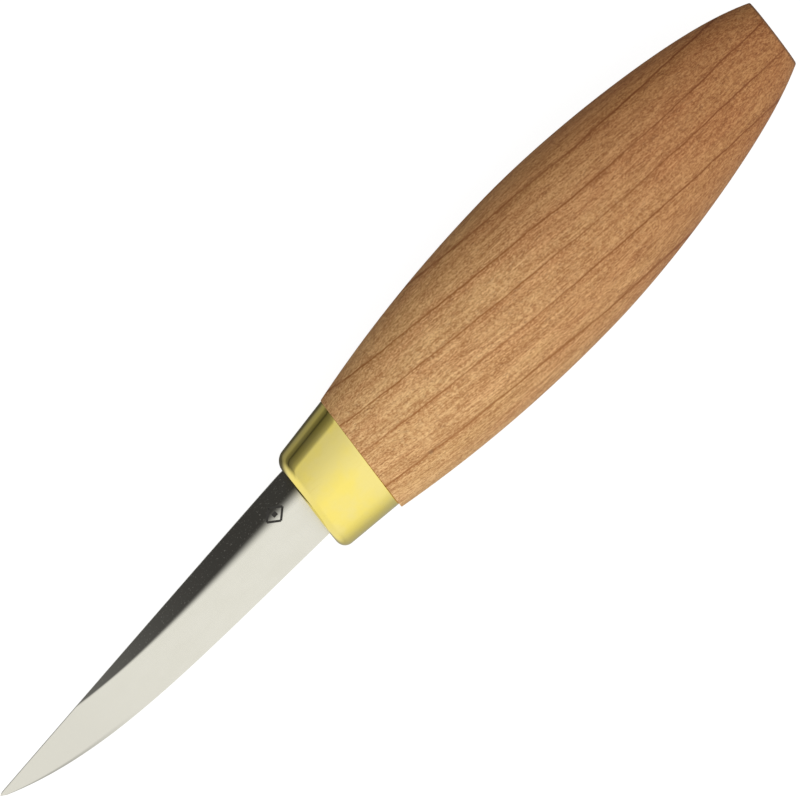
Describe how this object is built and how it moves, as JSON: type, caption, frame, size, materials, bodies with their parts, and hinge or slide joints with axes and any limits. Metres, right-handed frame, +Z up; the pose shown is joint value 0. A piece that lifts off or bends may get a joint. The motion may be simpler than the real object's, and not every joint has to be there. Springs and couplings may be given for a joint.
{
  "type": "whittling knife",
  "caption": "Fixed-blade whittling knife: flat-ground carving blade, brass ferrule and barrel-shaped hardwood handle, for paring and detail carving of wood by hand.",
  "frame": {"origin": "under the middle of the knife's length, on the surface it lies on, below the handle's axis", "axes": "+X from the blade's tip to the butt along the handle's axis, +Y from the cutting edge to the spine, +Z up out of the face of the blade that carries the etched figure; the knife lies on its side"},
  "size_m": [0.184, 0.0306, 0.0239],
  "materials": {
    "blade_steel": "dark scale-blasted flat along the spine, polished bevel",
    "ferrule_brass": "polished drawn cup with faint rubbed marks",
    "handle_wood": "oiled cherry, sanded, satin",
    "epoxy": "dark cured adhesive"
  },
  "bodies": {
    "root": {"blade": "blade_steel", "ferrule": "ferrule_brass", "handle": "handle_wood", "tang_epoxy": "epoxy"}
  },
  "joints": []
}
